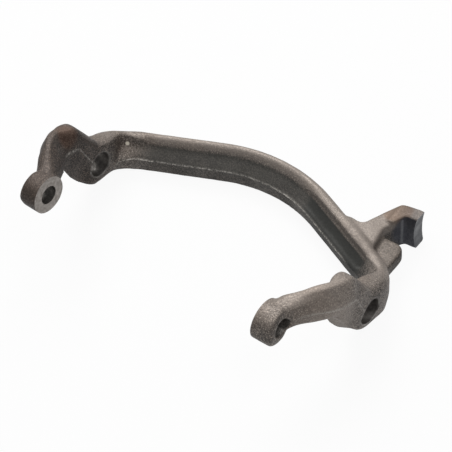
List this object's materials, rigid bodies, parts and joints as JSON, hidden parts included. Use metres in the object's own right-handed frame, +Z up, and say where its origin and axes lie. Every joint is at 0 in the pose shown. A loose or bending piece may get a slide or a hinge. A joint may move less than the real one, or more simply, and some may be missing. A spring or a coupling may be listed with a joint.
{
  "type": "gearbox shift fork",
  "caption": "Forged swing fork: a flat arch between pivot bosses, arms that climb to pad eyes, and a hooked finger on one leg.",
  "frame": {"origin": "on the pivot axis, midway between the two bosses", "axes": "+X along the pivot axis towards the side that carries the finger, +Y level from the pivot axis towards the arch, +Z up from the flat underside of the arch"},
  "size_m": [0.186, 0.1256, 0.0605],
  "materials": {
    "forged_steel": "rough"
  },
  "bodies": {
    "root": {"shift_fork": "forged_steel"}
  },
  "joints": []
}
